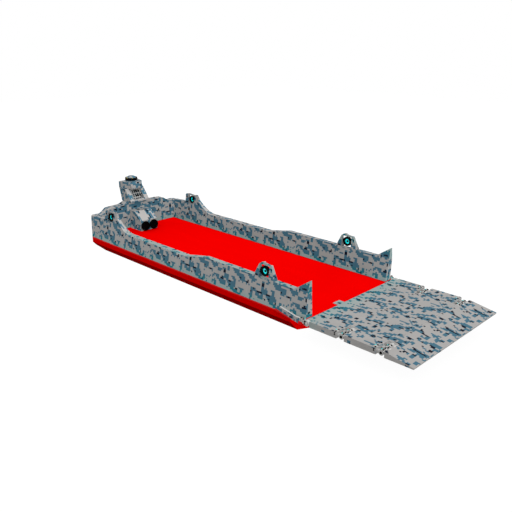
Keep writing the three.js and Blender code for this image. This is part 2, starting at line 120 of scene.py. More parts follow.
# The sky is even above the horizon and dark below it, like the light in a hall with a dark ground.
# The camera sees it as plain white.
def setStudio():
    scene = bpy.context.scene
    scene.view_settings.view_transform = "Standard"
    world = bpy.data.worlds.new("studioSky")
    sky = Paint("studioSky", world)
    height = sky.split(sky.place("Generated"))[2]
    fade = sky.node("ShaderNodeMapRange", {}, {
        "Value": height,
        "From Min": studio["skyLow"],
        "From Max": studio["skyHigh"],
        "To Max": studio["sky"],
    })
    seen = sky.node("ShaderNodeLightPath", {}, {}, "Is Camera Ray")
    sky.set({"Color": (1, 1, 1, 1), "Strength": sky.maths("MAXIMUM", fade, seen)})
    scene.world = world
    for number, (strength, angle, source) in enumerate(studio["suns"]):
        light = bpy.data.lights.new(f"studioSun{number}", "SUN")
        light.energy = strength
        light.angle = math.radians(angle)
        holder = bpy.data.objects.new(f"studioSun{number}", light)
        holder.rotation_mode = "QUATERNION"
        holder.rotation_quaternion = Vector(source).to_track_quat("Z", "Y")
        scene.collection.objects.link(holder)
    half = studio["floorSize"] / 2
    corners = [(-half, -half, 0), (half, -half, 0), (half, half, 0), (-half, half, 0)]
    mesh = bpy.data.meshes.new("studioFloor")
    mesh.from_pydata(corners, [], [(0, 1, 2, 3)])
    floor = bpy.data.objects.new("studioFloor", mesh)
    finish = Paint("studioFloor")
    finish.set({
        "Base Color": (*[studio["floorTone"]] * 3, 1),
        "Roughness": studio["floorRough"],
        "Specular IOR Level": 0.0,
        "Emission Color": (1, 1, 1, 1),
        "Emission Strength": studio["floorGlow"],
    })
    mesh.materials.append(finish.material)
    floor.visible_diffuse = False
    scene.collection.objects.link(floor)


# Shader maths: a Wire is one socket, and sums of wires add their Math nodes

class Wire:
    def __init__(self, paint, socket):
        self.paint = paint
        self.socket = socket

    def __add__(self, other):
        return self.paint.maths("ADD", self, other)

    def __radd__(self, other):
        return self.paint.maths("ADD", other, self)

    def __sub__(self, other):
        return self.paint.maths("SUBTRACT", self, other)

    def __rsub__(self, other):
        return self.paint.maths("SUBTRACT", other, self)

    def __mul__(self, other):
        return self.paint.maths("MULTIPLY", self, other)

    def __rmul__(self, other):
        return self.paint.maths("MULTIPLY", other, self)

    def __truediv__(self, other):
        return self.paint.maths("DIVIDE", self, other)

    def __gt__(self, other):
        return self.paint.maths("GREATER_THAN", self, other)

    def __lt__(self, other):
        return self.paint.maths("LESS_THAN", self, other)

    def __abs__(self):
        return self.paint.maths("ABSOLUTE", self)

    def floor(self):
        return self.paint.maths("FLOOR", self)

    def sine(self):
        return self.paint.maths("SINE", self)

    def cosine(self):
        return self.paint.maths("COSINE", self)

    # what is left of this after whole lengths are taken off
    def within(self, length):
        return self - (self / length).floor() * length

    # distance from the nearest of the lines that lie a gap apart
    def besideLines(self, gap, shift):
        return abs((self + shift).within(gap) - gap / 2)

    def clamped(self):
        return self.paint.node("ShaderNodeClamp", {}, {"Value": self})

    # 0 at low, 1 at high, smooth between them
    def ramp(self, low, high):
        settings = {"interpolation_type": "SMOOTHSTEP"}
        values = {"Value": self, "From Min": low, "From Max": high}
        return self.paint.node("ShaderNodeMapRange", settings, values)


# The nodes of one material, or of the sky where a world is given
class Paint:
    def __init__(self, name, world=None):
        self.material = world or bpy.data.materials.new(name)
        self.material.use_nodes = True
        self.tree = self.material.node_tree
        self.shader = self.tree.nodes["Background" if world else "Principled BSDF"]
        self.made = {}

    def connect(self, target, value):
        if isinstance(value, Wire):
            self.tree.links.new(value.socket, target)
        else:
            target.default_value = value

    def node(self, kind, settings, values, out=0):
        item = self.tree.nodes.new(kind)
        for key, value in settings.items():
            setattr(item, key, value)
        for key, value in values.items():
            self.connect(item.inputs[key], value)
        return Wire(self, item.outputs[out])

    def maths(self, operation, *values):
        return self.node("ShaderNodeMath", {"operation": operation}, dict(enumerate(values)))

    def set(self, values):
        for key, value in values.items():
            self.connect(self.shader.inputs[key], value)

    def place(self, kind="Object"):
        if kind not in self.made:
            self.made[kind] = self.node("ShaderNodeTexCoord", {}, {}, kind)
        return self.made[kind]

    def split(self, vector):
        item = self.tree.nodes.new("ShaderNodeSeparateXYZ")
        self.connect(item.inputs[0], vector)
        return [Wire(self, output) for output in item.outputs]

    def vector(self, x, y, z):
        return self.node("ShaderNodeCombineXYZ", {}, {"X": x, "Y": y, "Z": z})

    def noise(self, vector, scale, detail, roughness=0.5):
        values = {"Vector": vector, "Scale": scale, "Detail": detail, "Roughness": roughness}
        return self.node("ShaderNodeTexNoise", {}, values, "Fac")

    # a colour given as three numbers gets its fourth, and a wire stays as it is
    def colour(self, value):
        return value if isinstance(value, Wire) else (*value, 1)

    # colour a where the mask is 0, colour b where it is 1; these are the Mix node's colour sockets
    def blend(self, mask, a, b):
        item = self.tree.nodes.new("ShaderNodeMix")
        item.data_type = "RGBA"
        self.connect(item.inputs[0], mask)
        self.connect(item.inputs[6], self.colour(a))
        self.connect(item.inputs[7], self.colour(b))
        return Wire(self, item.outputs[2])

    # a colour made lighter or darker by a tone
    def toned(self, tone, colour):
        values = {"Value": tone, "Color": self.colour(colour)}
        return self.node("ShaderNodeHueSaturation", {}, values)

    # a number that is a where the mask is 0 and b where it is 1
    def between(self, mask, a, b):
        return mask * (b - a) + a

    def bump(self, height, distance, strength):
        values = {"Height": height, "Distance": distance, "Strength": strength}
        return self.node("ShaderNodeBump", {}, values)


# Camouflage: square cells in a repeated tile. The noise of a patch is read on a ring for each of
# the two directions, so the tile has no edge. Blue where the sum of level patches, slanting
# patches, crumbs and a grain for each cell is high; navy in small dabs where that sum is high too.
# Level and slanting patches are read for two cells at once along the craft, so they end in blocks.

camo = {
    "cell": 0.106,            # metres a side
    "tile": 31,               # cells along one tile, after which the pattern comes again
    "grey": (0.425, 0.415, 0.405),
    "blue": (0.064, 0.17, 0.24),
    "navy": (0.0, 0.006, 0.02),
    "pale": (0.56, 0.56, 0.55),
    "tealGrey": (0.33, 0.43, 0.42),
    "teal": (0.0, 0.19, 0.24),
    # for each noise its seed, its steps a cell along and across, and its share of the sum
    "level": (3.1, 0.2, 0.396, 0.31),
    "slant": (57.2, 0.2, 0.33, 0.41),
    "crumbs": (13.6, 0.3, 0.45, 0.22),
    "dabs": (52.7, 0.32, 0.62, 0.6),
    "grain": 0.06,            # share of the grain in the sum for blue
    "navySum": 0.4,           # share of that sum in the one for navy
    "blueLevel": 0.5225,      # higher leaves less blue
    "navyLevel": 0.627,       # higher leaves less navy
    "sideMore": 0.025,        # how much more blue sides have than tops
    "navyTops": 0.024,        # how much more navy tops have than sides
    "edgeLess": 0.095,        # how much less blue the edges of the ramp have
    "washLess": 0.042,        # how much less blue sides have where the paint is washed with teal
    "washTops": 0.6,          # the part of that which tops are spared
    "topFrom": 0.7,           # upward part of the normal past which a face is a top
    "endFrom": 0.75,          # its part along the craft past which a face looks fore or aft
    "slopeWay": (0.66, 0.75),         # along and up, the normal of the walls' slopes to the bow, which get a painted highlight
    "slopeFrom": (0.85, 0.97),        # how near to that the normal has to be
    "slopeMore": 0.22,        # painted highlight: how much lighter those slopes are made, as if lit from the front
    "sternShift": 14,         # cells by which the pattern of the stern wall is moved across
    "towerShift": 23,         # cells by which the tower's pattern is moved along
    "seamGap": 1.643,         # metres between the upright seams of the bulwarks
    "seamShift": 40.0,
    "seamWide": 0.016,
    "seamMore": 0.16,         # how much lighter the seams are
    "tone": (0.85, 0.2, 0.1),         # the least tone, and what drift and streaks add to it
    "rough": 0.6,
    "shine": 0.12,
}
red = {"hull": (0.83, 0.0, 0.0), "deck": (1.0, 0.0, 0.0)}
# The grain of every paint: how much it spreads the roughness, and its depth in metres
grit = {"spread": 0.2, "depth": 0.0015}


# u runs along the craft, or across it on faces that look fore or aft; v runs up, or across on tops
def camoCells(paint, shift):
    x, y, z = paint.split(paint.place())
    nx, ny, nz = paint.split(paint.place("Normal"))
    top = abs(nz) > camo["topFrom"]
    end = (abs(nx) > camo["endFrom"]) * (1 - top)
    u = (paint.between(end, x, y) / camo["cell"]).floor() + shift
    v = (paint.between(top, z, 0 - y) / camo["cell"]).floor()
    along, up = camo["slopeWay"]
    # 1 on slopes facing the bow and up; the paint lightens these as a painted highlight
    slope = (nx * along + nz * up).ramp(*camo["slopeFrom"])
    return x, y, z, top, slope, u, v


# Noise of cell (u, v) times its share of the sum, the same again one tile on
def tiledNoise(paint, u, v, kind):
    seed, stepU, stepV, share = camo[kind]
    turn = 2 * math.pi / camo["tile"]
    reachU, reachV = stepU / turn, stepV / turn
    values = {
        "Vector": paint.vector((u * turn).cosine() * reachU + seed, (u * turn).sine() * reachU,
                               (v * turn).cosine() * reachV),
        "W": (v * turn).sine() * reachV,
        "Scale": 1.0,
        "Detail": 0.0,
    }
    return paint.node("ShaderNodeTexNoise", {"noise_dimensions": "4D"}, values, "Fac") * share


def camoPaint(name, redPart=None, palePart=None, seams=False, washed=None, plainSides=False, shift=0):
    paint = Paint(name)
    x, y, z, top, slope, u, v = camoCells(paint, shift)
    pair = (u / 2).floor() * 2
    spot = paint.vector(u.within(camo["tile"]), v.within(camo["tile"]), 0.5)
    cellGrain = paint.node("ShaderNodeTexWhiteNoise", {}, {"Vector": spot})
    patches = tiledNoise(paint, pair, v, "level") + tiledNoise(paint, pair, v + pair, "slant")
    patches = patches + tiledNoise(paint, u, v, "crumbs") + cellGrain * camo["grain"]
    patches = patches + (0.5 - top) * camo["sideMore"]
    if plainSides:
        patches = patches - (1 - top) * camo["edgeLess"]
    ground, patch = camo["grey"], camo["blue"]
    if washed:
        wash = washed(x, y, z, top) * (1 - slope)
        patches = patches - wash * (1 - top * camo["washTops"]) * camo["washLess"]
        ground = paint.blend(wash, ground, camo["tealGrey"])
        patch = paint.blend(wash, patch, camo["teal"])
    colour = paint.blend(patches > camo["blueLevel"], ground, patch)
    dabs = tiledNoise(paint, u, v, "dabs") + patches * camo["navySum"] + (top - 0.5) * camo["navyTops"]
    colour = paint.blend(dabs > camo["navyLevel"], colour, camo["navy"])
    if palePart:
        colour = paint.blend(palePart(x, y, z, top), colour, camo["pale"])
    least, driftMore, streakMore = camo["tone"]
    drift = paint.noise(paint.place(), 0.45, 4.0, 0.6)
    streaks = paint.noise(paint.vector(x * 3.0, y * 3.0, z * 0.35), 1.0, 3.0)
    # the slope's share of the tone is a painted highlight, lighter where faces turn to the front light
    tone = drift * driftMore + streaks * streakMore + least + slope * camo["slopeMore"]
    if seams:
        beside = x.besideLines(camo["seamGap"], camo["seamShift"])
        seam = 1 - beside.ramp(camo["seamWide"] / 2, camo["seamWide"])
        tone = tone + seam * (1 - top) * camo["seamMore"]
    if redPart:
        colour = paint.blend(redPart(x, y, z), colour, red["hull"])
    grain = paint.noise(paint.place(), 35.0, 3.0)
    paint.set({
        "Base Color": paint.toned(tone, colour),
        "Roughness": grain * grit["spread"] + camo["rough"],
        "Specular IOR Level": camo["shine"],
        "Normal": paint.bump(grain, grit["depth"], 0.6),
    })
    return paint.material


# Where the camouflage is washed with teal, where it is red and where it is pale, in metres
areas = {
    "footWash": (1.36, 1.86),         # heights between which the wash fades out above the boot line
    "hornWash": (3.0, 3.5),           # heights between which it comes again, fore of hornsFrom
    "hornsFrom": 3.0,
    "bowWash": 8.06,                  # everything fore of this is washed
    "topWashFrom": -10.4,             # the top of the starboard wall is washed fore of this
    "topWash": 0.8,
    "rampWash": (8.15, 9.5),          # the wash of the ramp fades out between these
    "rampWashMost": 0.9,
    "wallBoot": 1.358,                # the walls are red below this height
    "cheekLine": (6.495, 1.398, -0.2231),     # x, height and slope of the cheeks' boot line
    "cheekFoot": (7.75, 1.28),        # cheeks are red fore of this x and below this height
    "sillLip": (8.062, 1.29, 3.61),   # red aft of this x, above this height, inboard of this y
    "sillFoot": (8.12, 1.2),          # red aft of this x and below this height
    "knuckles": (0.25, 3.245),        # pale so far from a fold's pin, and outboard of this y
    "brackets": 4.26,                 # the sill is pale outboard of this
    "cheekTip": 7.989,                # the cheeks are pale fore of this
}


# 1 beside the deck and the boot line, fading out above them, and towards the tips of the horns;
# the top of the starboard wall has it too, fore of the aft lamp
def wallWash(x, y, z, top):
    low = 1 - z.ramp(*areas["footWash"])
    rim = z.ramp(*areas["hornWash"]) * (x > areas["hornsFrom"])
    wallTop = top * (y < 0) * (x > areas["topWashFrom"]) * areas["topWash"]
    return ((low + rim) * (1 - top) + (x > areas["bowWash"]) + wallTop).clamped()


# Most at the foot of the ramp, fading out along it
def rampWash(x, y, z, top):
    return (1 - x.ramp(*areas["rampWash"])) * areas["rampWashMost"]


# The boot line on the walls, the slanting one on the hinge cheeks, and the foot and lip of the sill
def wallBoot(x, y, z):
    return z < areas["wallBoot"]


def cheekBoot(x, y, z):
    start, height, slope = areas["cheekLine"]
    fore, low = areas["cheekFoot"]
    slanting = z < (x - start) * slope + height
    return (slanting + (x > fore) * (z < low)).clamped()


def sillBoot(x, y, z):
    aft, above, inboard = areas["sillLip"]
    fore, low = areas["sillFoot"]
    lip = (x < aft) * (z > above) * (abs(y) < inboard)
    return (lip + (z < low) * (x < fore)).clamped()


# Pale grey on the knuckles of both folds, on the brackets of the sill and on tops of the cheeks
def foldPale(x, y, z, top):
    reach, inner = areas["knuckles"]
    first, second = [abs(x - jointPlace(name)[0]) < reach for name in folds]
    return (first + second).clamped() * (abs(y) > inner)


def sillPale(x, y, z, top):
    return abs(y) > areas["brackets"]


def cheekPale(x, y, z, top):
    return (top + (x > areas["cheekTip"])).clamped()


def plainPaint(name, colour, roughness, metallic=0.0, specular=0.2, grainScale=40.0):
    paint = Paint(name)
    grain = paint.noise(paint.place(), grainScale, 4.0)
    drift = paint.noise(paint.place(), 0.9, 3.0)
    paint.set({
        "Base Color": paint.toned(drift * 0.16 + 0.92, colour),
        "Roughness": grain * grit["spread"] + (roughness - grit["spread"] / 2),
        "Metallic": metallic,
        "Specular IOR Level": specular,
        "Normal": paint.bump(grain, grit["depth"], 0.7),
    })
    return paint.material


# Welded plates: how long and wide they are, their beads, and how rough their red paint is
plating = {
    "long": 4.86,
    "wide": 1.805,
    "shiftLong": 60.0,
    "shiftWide": 40.0,
    "bead": 0.012,
    "beadHigh": 0.004,
    "deckGrit": 0.0008,
    "hullLong": 3.286,
    "hullBead": 0.014,
    "hullGrit": 0.001,
    "rough": 0.7,
    "bowFrom": 0.7,           # part of the normal along the craft past which a face is the bow's, which gets painted light
    # strength of the glow on the bow's faces, painted light in place of the front light
    "bowGlow": 0.2,
}


# Red deck of welded plates: low beads along the joints, and drifts of tone drawn out along the deck
def deckPaint():
    paint = Paint("deckRed")
    x, y, z = paint.split(paint.place())
    acrossJoint = x.besideLines(plating["long"], plating["shiftLong"])
    alongJoint = y.besideLines(plating["wide"], plating["shiftWide"])
    bead = 2 - acrossJoint.ramp(0.0, plating["bead"]) - alongJoint.ramp(0.0, plating["bead"])
    grain = paint.noise(paint.place(), 45.0, 4.0)
    drift = paint.noise(paint.vector(x * 0.25, y, z), 1.1, 3.0)
    height = bead.clamped() * plating["beadHigh"] + grain * plating["deckGrit"]
    paint.set({
        "Base Color": paint.toned(drift * 0.10 + 0.94, red["deck"]),
        "Roughness": grain * grit["spread"] + plating["rough"],
        "Specular IOR Level": 0.0,
        "Normal": paint.bump(height, 1.0, 0.5),
    })
    return paint.material


# Hull red with plate seams; the end plate under the bow has the brighter red of the deck and a slight
# glow: painted light, standing in for the front light that the shade of the sill keeps from it
def hullPaint():
    paint = Paint("hullRed")
    x, y, z = paint.split(paint.place())
    ahead = paint.split(paint.place("Normal"))[0] > plating["bowFrom"]
    joint = x.besideLines(plating["hullLong"], plating["shiftLong"])
    bead = 1 - joint.ramp(0.0, plating["hullBead"])
    grain = paint.noise(paint.place(), 30.0, 4.0)
    drift = paint.noise(paint.vector(x * 0.3, y * 0.3, z * 2.0), 1.2, 4.0, 0.6)
    height = bead * plating["beadHigh"] + grain * plating["hullGrit"]
    paint.set({
        # faces looking ahead get the deck's brighter red and a glow: a painted highlight
        "Base Color": paint.toned(drift * 0.14 + 0.93, paint.blend(ahead, red["hull"], red["deck"])),
        "Emission Color": paint.blend(ahead, (0.0, 0.0, 0.0), red["deck"]),
        "Emission Strength": plating["bowGlow"],
        "Roughness": grain * grit["spread"] + plating["rough"],
        "Specular IOR Level": 0.0,
        "Normal": paint.bump(height, 1.0, 0.5),
    })
    return paint.material


# A lens of coloured glass that glows: a lamp's light, and on the reflectors, which are no lamps, a
# painted reflection; cloudy spots in the glass change its tone a little
def lensPaint(name, colour, glow):
    paint = Paint(name)
    clouds = paint.noise(paint.place(), 14.0, 2.0)
    shade = paint.toned(clouds * 0.3 + 0.85, colour)
    paint.set({
        "Base Color": shade,
        "Roughness": 0.2,
        "Emission Color": shade,
        "Emission Strength": glow,
        "Coat Weight": 0.4,
    })
    return paint.material


# Shapes: each gives points (n, 3) and quads (m, 4) as arrays, in metres

axisFrames = {
    "x": ((0, 1, 0), (0, 0, 1), (1, 0, 0)),
    "y": ((0, 0, 1), (1, 0, 0), (0, 1, 0)),
    "z": ((1, 0, 0), (0, 1, 0), (0, 0, 1)),
}


# A point is centre + across * first + up * second + along * axis
def placed(across, up, along, axis, centre):
    first, second, third = np.array(axisFrames[axis], float)
    spread = across[..., None] * first + up[..., None] * second + along[..., None] * third
    return spread + np.array(centre, float)


# Quads between neighbours on a grid of rows and columns; columns always close on themselves
def gridShape(points, wrapRows=False):
    rows, columns = points.shape[:2]
    steps = rows if wrapRows else rows - 1
    row, column = np.meshgrid(np.arange(steps), np.arange(columns), indexing="ij")
    nextRow = (row + 1) % rows
    nextColumn = (column + 1) % columns
    quads = np.stack([
        row * columns + column, row * columns + nextColumn,
        nextRow * columns + nextColumn, nextRow * columns + column,
    ], axis=-1).reshape(-1, 4)
    return points.reshape(-1, 3), quads


# Rings whose first and last are each closed on their own middle point
def closedRings(rings):
    first = rings[:1].mean(1, keepdims=True) + 0 * rings[:1]
    last = rings[-1:].mean(1, keepdims=True) + 0 * rings[:1]
    return gridShape(np.concatenate([first, rings, last]))


# Angles of so many things spread evenly over a turn, moved on by a part of a step
def evenAngles(count, part=0.0):
    return 2 * np.pi * (np.arange(count) + part) / count


# A profile of (radius, height) turned round an axis: radius * (cos a, sin a), then height along it
def turned(profile, axis, centre, count, closed=False):
    profile = np.array(profile, float)
    angle = evenAngles(count)
    radius = profile[:, :1]
    points = placed(
        radius * np.cos(angle), radius * np.sin(angle), profile[:, 1:] + 0 * angle, axis, centre,
    )
    return gridShape(points, closed)


# An outline round the origin carried along an axis: at each level (height, inset) every point
# moves inwards by the inset on both directions; both ends close on a middle point
def carried(outline, levels, axis, centre):
    outline = np.array(outline, float)
    levels = np.array(levels, float)
    inset = levels[:, 1][:, None, None]
    rings = outline[None] - np.sign(outline)[None] * np.minimum(inset, np.abs(outline)[None])
    rings = np.concatenate([rings[:1] * 0, rings, rings[-1:] * 0])
    heights = np.concatenate([levels[:1, 0], levels[:, 0], levels[-1:, 0]])[:, None] + 0 * rings[..., 0]
    return gridShape(placed(rings[..., 0], rings[..., 1], heights, axis, centre))


# A section of (radius, height) followed by its own mirror image below height 0
def bothWays(section):
    return [*section, *((radius, -height) for radius, height in section[::-1])]


# A slab from low to high corner whose edges round the given axis's two ends are chamfered
def slab(low, high, chamfer, axis="z"):
    low, high = np.array(low, float), np.array(high, float)
    centre, half = (low + high) / 2, (high - low) / 2
    frameRows = np.array(axisFrames[axis], float)
    a, b, c = np.abs(frameRows @ half)
    corners = [(a, b), (-a, b), (-a, -b), (a, -b)]
    levels = [(-c, chamfer), (-c + chamfer, 0), (c - chamfer, 0), (c, chamfer)]
    return carried(corners, levels, axis, centre)


# An outline in (x, z) carried along Y, its end edges chamfered towards the outline's middle
def prism(outline, low, high, chamfer):
    outline = np.array(outline, float)
    middle = outline.mean(0)
    arms = outline - middle
    small = middle + arms * (1 - chamfer / np.linalg.norm(arms, axis=1, keepdims=True))
    point = middle + arms * 0
    x, z = np.moveaxis(np.array([point, small, outline, outline, small, point]), -1, 0)
    y = np.array([low, low, low + chamfer, high - chamfer, high, high])[:, None] + 0 * x
    return gridShape(np.stack([x, y, z], axis=-1))


# A hexagon head with a washer under it, standing out along the axis by its height
def bolt(centre, axis, radius, height, outwards=1):
    profile = [(0, 0), (radius * 1.25, 0), (radius * 1.25, height * 0.25), (radius, height * 0.25),
               (radius, height * 0.9), (radius * 0.85, height), (0, height)]
    profile = [(r, h * outwards) for r, h in profile]
    return turned(profile, axis, centre, 6)


# Hexagon heads, one at each place, standing out of a face along the axis
def bolts(places, axis, radius, height):
    return repeated(bolt((0, 0, 0), axis, radius, height), places)


# The quads of so many copies of a shape with so many points
def copiedQuads(quads, pointCount, copies):
    return (quads[None] + (np.arange(copies) * pointCount)[:, None, None]).reshape(-1, 4)


# Copies of a shape, one at each offset
def repeated(shape, offsets):
    points, quads = shape
    offsets = np.array(offsets, float)
    spread = (points[None] + offsets[:, None]).reshape(-1, 3)
    return spread, copiedQuads(quads, len(points), len(offsets))


# Copies of a shape turned round an axis through a centre, one at each angle
def spun(shape, axis, centre, angles):
    points, quads = shape
    first, second, third = np.array(axisFrames[axis], float)
    local = points - np.array(centre, float)
    a, b, c = local @ first, local @ second, local @ third
    angles = np.array(angles, float)[:, None]
    spread = placed(
        a * np.cos(angles) - b * np.sin(angles), a * np.sin(angles) + b * np.cos(angles),
        c + 0 * angles, axis, centre,
    )
    return spread.reshape(-1, 3), copiedQuads(quads, len(points), len(angles))


# A shape turned round Y through a pivot; a positive angle lowers its fore end
def tilted(shape, pivot, degrees):
    points, quads = shape
    angle = math.radians(degrees)
    x, y, z = (points - np.array(pivot, float)).T
    along = x * math.cos(angle) + z * math.sin(angle)
    up = z * math.cos(angle) - x * math.sin(angle)
    return np.stack([along, y, up], axis=1) + np.array(pivot, float), quads


# The same shape moved by an offset
def moved(shape, offset):
    return shape[0] + np.array(offset, float), shape[1]


# The same shape on the other side of the craft
def mirrored(shape, side):
    return shape[0] * (1, side, 1), shape[1]


meshing = {"merge": 1e-5, "sharpFrom": 35.0}         # metres, and degrees between smooth faces


# Shapes joined in one mesh that has a finish, rides on a body and may replace nodes
def makePiece(name, shapes, finish, body, replaced=()):
    points = np.concatenate([shape[0] for shape in shapes])
    starts = np.cumsum([0] + [len(shape[0]) for shape in shapes[:-1]])
    quads = np.concatenate([shape[1] + start for shape, start in zip(shapes, starts)])
    mesh = bpy.data.meshes.new(name)
    mesh.from_pydata(points.tolist(), [], quads.tolist())
    work = bmesh.new()
    work.from_mesh(mesh)
    bmesh.ops.remove_doubles(work, verts=work.verts, dist=meshing["merge"])
    bmesh.ops.recalc_face_normals(work, faces=work.faces)
    work.to_mesh(mesh)
    work.free()
    mesh.shade_smooth()
    mesh.set_sharp_from_angle(angle=math.radians(meshing["sharpFrom"]))
    mesh.materials.append(finish)
    piece = bpy.data.objects.new(name, mesh)
    bpy.context.scene.collection.objects.link(piece)
    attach(piece, body)
    if replaced:
        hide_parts(*replaced)


setCamera()
setStudio()

finishes = {
    "camo_paint": camoPaint("camoPaint", shift=camo["towerShift"]),
    "hull_red": hullPaint(),
    "deck_red": deckPaint(),
    "black_paint": plainPaint("blackPaint", (0.0012, 0.0012, 0.0015), 0.6, specular=0.04),
    "lamp_glass": lensPaint("lampGlass", (0.0, 0.78, 0.8), 0.55),
    "window_glass": plainPaint("windowGlass", (0.045, 0.07, 0.085), 0.15, specular=0.4),
    "pin_steel": plainPaint("pinSteel", (0.012, 0.012, 0.014), 0.4, 0.5),
    "engine_iron": plainPaint("engineIron", (0.2, 0.21, 0.22), 0.6, 0.4),
    "bronze": plainPaint("bronze", (0.55, 0.34, 0.12), 0.35, 1.0, grainScale=90.0),
}
wallPaint = camoPaint("camoWalls", wallBoot, seams=True, washed=wallWash)
sternPaint = camoPaint("camoStern", wallBoot, washed=wallWash, shift=camo["sternShift"])
rampPaint = camoPaint("camoRamp", None, foldPale, washed=rampWash, plainSides=True)
cheekPaint = camoPaint("camoCheeks", cheekBoot, cheekPale)
sillPaint = camoPaint("camoSill", sillBoot, sillPale)
fittingPaint = plainPaint("fittingGrey", (0.62, 0.61, 0.59), 0.6)
amberLens = lensPaint("amberLens", (0.55, 0.45, 0.03), 0.1)
# the reflectors' glow is a painted reflection, as they are no lamps
reflector = lensPaint("reflectorGlass", (0.0, 0.62, 0.62), 0.2)
nodePaint = {"stern_wall": sternPaint, "bow_sill": sillPaint}
nodePaint.update({f"ramp_{part}": rampPaint for part in ("inner", "middle", "toe")})
for sideName, side in sides:
    nodePaint[f"wall_{sideName}"] = wallPaint
    nodePaint[f"hinge_cheek_{sideName}"] = cheekPaint
    nodePaint.update({f"lamp_cradle_{station}_{sideName}": wallPaint for station in stations})


# The red and the camouflage throw no coloured light on each other, and the ramp casts no shadow
def paintNodes():
    for entry in frame["record"]["subparts"]:
        node = nodes[entry["node"]]
        node.data.materials.clear()
        node.data.materials.append(nodePaint.get(entry["node"], finishes[entry["material_slot"]]))
    for name in ("deck", "hull", "wall_starboard", "wall_port", "stern_wall"):
        nodes[name].visible_diffuse = False
    for name in ("ramp_inner", "ramp_middle", "ramp_toe"):
        nodes[name].visible_shadow = False


paintNodes()
print("finishes on")


# Signal lamps: a black barrel with a stepped bezel, a ring lens with a dark core, bolts and bosses

lamp = {
    "radius": 0.315,
    "half": 0.09,             # half of the barrel's depth
    "bolts": 12,
    "boltCircle": 0.268,
    "bolt": (0.014, 0.012),   # radius and height
    "faceIn": 0.012,          # how far the face with the bolts lies behind the bezel
    # profiles of (radius, distance from the lamp's middle): a boss with its pin, and one half each
    # of the core and the glass
    "boss": ((0, 0.29), (0.058, 0.29), (0.058, 0.325), (0.034, 0.335), (0.034, 0.3847), (0, 0.3847)),
    "core": ((0, 0.022), (0.06, 0.022), (0.082, 0.014)),
    "glass": ((0.083, 0.006), (0.11, 0.012), (0.14, 0.012), (0.171, 0.006)),
}


# The barrel is a closed section of (radius, distance along Y) turned round the lamp's middle
def lampBarrel(centre):
    outer, half = lamp["radius"], lamp["half"]
    face = half - lamp["faceIn"]
    section = bothWays([
        (0.172, 0.018), (0.183, half - 0.006), (0.198, half), (0.214, half), (0.222, face),
        (outer - 0.024, face), (outer - 0.018, half), (outer - 0.006, half), (outer, half - 0.008),
        (outer, half - 0.034), (outer - 0.008, half - 0.04),
    ])
    return turned(section, "y", centre, 48, closed=True)


def lampPieces(station, sideName):
    tilt = f"lamp_tilt_{station}_{sideName}"
    centre, body = jointPlace(tilt), joints[tilt]["child"]
    shapes = [lampBarrel(centre)]
    for way in (-1, 1):
        face = centre + (0, way * (lamp["half"] - lamp["faceIn"]), 0)
        head = moved(bolt(face, "y", *lamp["bolt"], way), (0, 0, lamp["boltCircle"]))
        shapes.append(spun(head, "y", centre, evenAngles(lamp["bolts"], 0.5)))
        boss = [(radius, distance * way) for radius, distance in lamp["boss"]]
        shapes.append(turned(boss, "x", centre, 16))
    shapes.append(turned(bothWays(lamp["core"]), "y", centre, 24))
    tag = f"{station}_{sideName}"
    black, glass = finishes["black_paint"], finishes["lamp_glass"]
    makePiece(f"lampBarrel_{tag}", shapes, black, body, [f"lamp_drum_{tag}"])
    ring = turned(bothWays(lamp["glass"]), "y", centre, 48, closed=True)
    makePiece(f"lampGlass_{tag}", [ring], glass, body, [f"lamp_lens_{tag}"])


for station in stations:
    for sideName, side in sides:
        lampPieces(station, sideName)
print("lamps made")


# Beacon on the tower: a black ring of two flanges with pods between them, on a low foot, and four
# amber lamps on its collar round the dome

beacon = {
    "place": (-14.4, 0.0, 5.0403),
    "baseRadius": 0.45,
    "lift": 0.06,             # height of the foot
    "sink": 0.004,            # how far the foot reaches up into the ring
    "radius": 0.5,
    "height": 0.15,           # of the ring's floor before it is lifted, where the dome starts
    "podCount": 16,
    "podHalf": 0.04,
    "collarHigh": 0.21,
    "collarInner": 0.412,
    "amberAngles": (-84, -19, 127, 153),
    "amberCircle": 0.45,
    "amber": ((0, 0), (0.038, 0), (0.038, 0.038), (0.028, 0.056), (0, 0.062)),
    "domeRadius": 0.41,
    "domeHigh": 0.245,
    "rimHigh": 0.03,
    "gap": 0.0006,            # by which the dome starts above that height
}


def beaconRing(place):
    outer, high = beacon["radius"], beacon["height"]
    flange, waist = outer - 0.004, outer - 0.05
    inner, crest = beacon["collarInner"], beacon["collarHigh"]
    ring = turned([
        (0, 0), (outer - 0.03, 0), (flange, 0.015), (flange, 0.03), (waist, 0.035), (waist, 0.115),
        (flange, 0.12), (flange, crest - 0.015), (outer - 0.015, crest), (inner + 0.008, crest),
        (inner, crest - 0.008), (inner, high), (0, high),
    ], "z", place, 64)
    half = beacon["podHalf"]
    pod = slab(place + (outer - 0.06, -half, 0.029), place + (outer, half, 0.121), 0.01, "x")
    pods = spun(pod, "z", place, evenAngles(beacon["podCount"]))
    return [moved(shape, (0, 0, beacon["lift"])) for shape in (ring, pods)]


# The dome is a quarter of an ellipse of (radius, height) above a short upright rim
def beaconDome(place):
    radius, rimHigh = beacon["domeRadius"], beacon["rimHigh"]
    angle = np.radians(np.linspace(0, 90, 9))
    shell = np.stack([radius * np.cos(angle), rimHigh + beacon["domeHigh"] * np.sin(angle)], axis=1)
    rim = [(0, 0), (radius, 0), (radius, rimHigh - 0.008), (radius - 0.008, rimHigh)]
    seat = place + (0, 0, beacon["height"] + beacon["gap"])
    return turned(rim + shell[1:].tolist(), "z", seat, 48)


